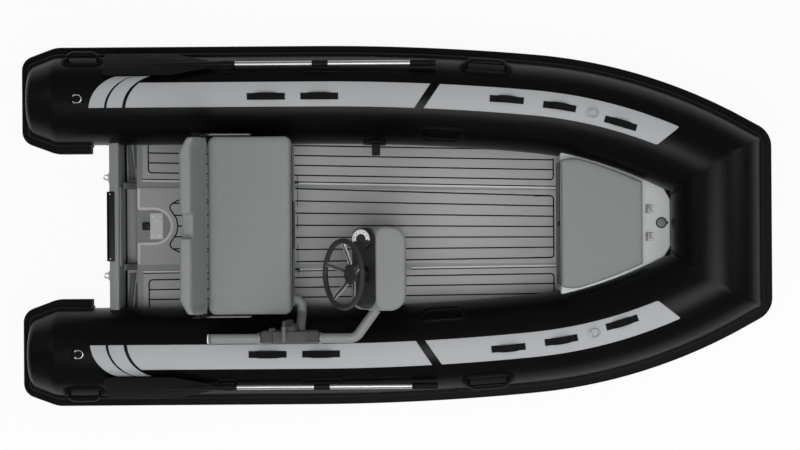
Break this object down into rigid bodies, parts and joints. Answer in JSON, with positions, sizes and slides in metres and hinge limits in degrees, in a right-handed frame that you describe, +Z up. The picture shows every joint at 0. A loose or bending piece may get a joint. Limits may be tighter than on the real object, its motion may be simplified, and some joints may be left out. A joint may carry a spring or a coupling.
{
  "type": "inflatable rib boat",
  "caption": "Rigid-hulled inflatable tender with a side console, wheel steering, padded bench with backrest, and a bow locker under a cushion.",
  "frame": {"origin": "on the centreline at mid-length, on the waterline of the empty boat", "axes": "+X towards the bow, +Y to port, +Z up"},
  "size_m": [3.8126, 1.84, 1.2163],
  "materials": {
    "hull_gelcoat": "moulded hull, satin gelcoat",
    "deck_gelcoat": "moulded deck and boxes, satin gelcoat",
    "locker_gelcoat": "pale satin gelcoat",
    "console_gelcoat": "grey satin gelcoat",
    "deck_foam": "closed-cell foam decking, matt with dark seams",
    "ridge_rubber": "pale edging strip",
    "tube_fabric": "coated tube fabric, satin black",
    "strake_rubber": "moulded rubber, matt black",
    "patch_fabric": "pale grey coated fabric",
    "black_webbing": "woven black webbing",
    "black_plastic": "moulded plastic, grained",
    "steel": "polished stainless steel",
    "aluminium_tube": "drawn tube, satin",
    "cushion_vinyl": "grey marine vinyl, fine grain",
    "wheel_grip": "soft black grip",
    "wheel_spoke": "black spokes with bright edges",
    "gauge_face": "gauge with a pale scale under a clear lens",
    "rail_paint": "grey powder coat",
    "throttle_paint": "dark grey moulded housing"
  },
  "bodies": {
    "boat": {"hull": "hull_gelcoat", "bow_eye": "steel", "deck_plate": "deck_gelcoat", "deck_ridges": "ridge_rubber", "deck_mat_centre": "deck_foam", "deck_mat_port": "deck_foam", "deck_mat_starboard": "deck_foam", "transom": "hull_gelcoat", "transom_knees": "deck_gelcoat", "engine_pad": "black_plastic", "towing_eyes": "steel", "well_plate": "steel", "drain_knob": "black_plastic", "tube_port": "tube_fabric", "tube_starboard": "tube_fabric", "tube_bow": "tube_fabric", "strake_port": "strake_rubber", "strake_starboard": "strake_rubber", "strake_bow": "strake_rubber", "tube_patches": "patch_fabric", "strap_loops_port": "black_webbing", "strap_loops_starboard": "black_webbing", "lifting_rings_port": "steel", "lifting_rings_starboard": "steel", "carry_handles_port": "strake_rubber", "carry_handles_starboard": "strake_rubber", "thwart_socket": "strake_rubber", "paddle_blades": "black_plastic", "paddle_shafts": "aluminium_tube", "paddle_grips": "black_plastic", "paddle_clips": "strake_rubber", "seat_base": "deck_gelcoat", "seat_hinge": "steel", "backrest": "cushion_vinyl", "backrest_brackets": "steel", "console_shell": "console_gelcoat", "dash_panel": "black_plastic", "gauge": "gauge_face", "steering_hub": "black_plastic", "side_rail": "rail_paint", "throttle_box": "throttle_paint", "throttle_lever": "black_plastic", "bow_locker": "locker_gelcoat", "locker_hinges": "steel", "locker_latch": "black_plastic", "light_socket": "rail_paint"},
    "steering_wheel": {"wheel_rim": "wheel_grip", "wheel_spokes": "wheel_spoke"},
    "seat_lid_body": {"seat_lid": "black_plastic", "seat_cushion": "cushion_vinyl"},
    "locker_lid_body": {"locker_lid": "locker_gelcoat", "locker_cushion": "cushion_vinyl"}
  },
  "joints": [
    {"name": "steering", "type": "hinge", "parent": "boat", "child": "steering_wheel", "pos_m": [-0.15539, -0.236, 0.87154], "axis": [-0.817, 0, 0.5767], "range_deg": [-630, 630]},
    {"name": "seat_lid_hinge", "type": "hinge", "parent": "boat", "child": "seat_lid_body", "pos_m": [-0.515, 0, 0.558], "axis": [0, 1, 0], "range_deg": [0, 85]},
    {"name": "locker_lid_hinge", "type": "hinge", "parent": "boat", "child": "locker_lid_body", "pos_m": [1.2514, 0, 0.448], "axis": [0, 1, 0], "range_deg": [0, 60]}
  ]
}
